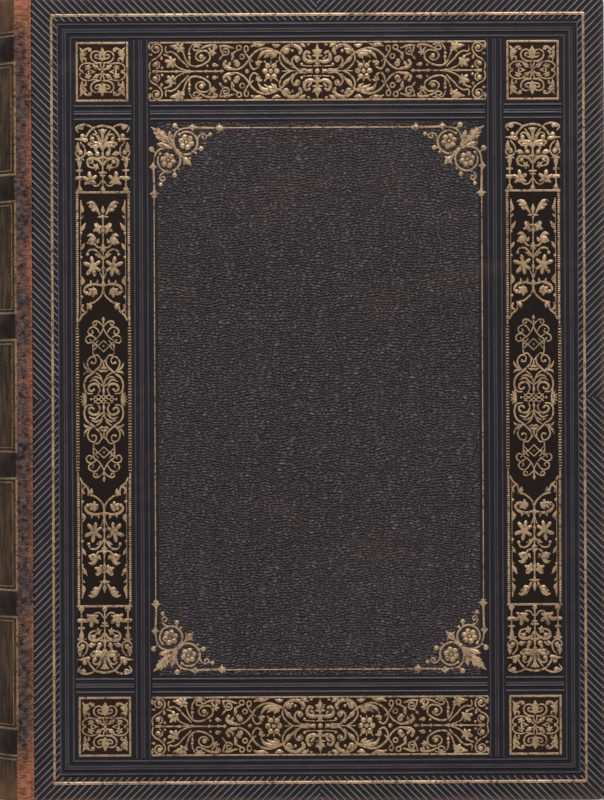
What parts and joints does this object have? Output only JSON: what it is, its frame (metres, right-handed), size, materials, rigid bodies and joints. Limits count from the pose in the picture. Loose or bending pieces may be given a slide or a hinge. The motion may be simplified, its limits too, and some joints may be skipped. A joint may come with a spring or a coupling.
{
  "type": "antique leather-bound book",
  "caption": "Thick old book in dark leather: ribbed and filleted covers with gilt arabesque panels, rounded spine with raised bands, covers that open on leather joints.",
  "frame": {"origin": "on the resting plane, under the middle of the closed book's box", "axes": "+X from spine to fore-edge, +Y from tail to head, +Z from back cover to front cover"},
  "size_m": [0.2226, 0.288, 0.0588],
  "materials": {
    "cover_leather": "smooth tooled morocco, slightly shiny",
    "spine_leather": "worn morocco",
    "gilding": "aged gold leaf",
    "page_edges": "matt paper, cut edges toned with age",
    "endpaper": "matt paper",
    "pasteboard": "matt grey-brown board",
    "endband_silk": "wound silk"
  },
  "bodies": {
    "text_block": {"pages": "page_edges", "front_flyleaf": "endpaper", "back_flyleaf": "endpaper", "head_endband": "endband_silk", "tail_endband": "endband_silk", "spine_lining": "pasteboard", "spine_bands": "pasteboard", "spine_leather": "spine_leather", "spine_gilding": "gilding"},
    "front_cover": {"front_board": "pasteboard", "front_leather": "cover_leather", "front_pastedown": "endpaper", "gilt_border_line": "gilding", "gilt_corner_squares": "gilding", "gilt_head_panel": "gilding", "gilt_tail_panel": "gilding", "gilt_joint_side_column": "gilding", "gilt_fore_side_column": "gilding", "gilt_centre_frame": "gilding"},
    "back_cover": {"back_board": "pasteboard", "back_leather": "cover_leather", "back_pastedown": "endpaper"}
  },
  "joints": [
    {"name": "front_cover_hinge", "type": "hinge", "parent": "text_block", "child": "front_cover", "pos_m": [-0.0937, 0, 0.0582], "axis": [0, -1, 0], "range_deg": [0, 180]},
    {"name": "back_cover_hinge", "type": "hinge", "parent": "text_block", "child": "back_cover", "pos_m": [-0.0937, 0, 0], "axis": [0, 1, 0], "range_deg": [0, 180]}
  ]
}
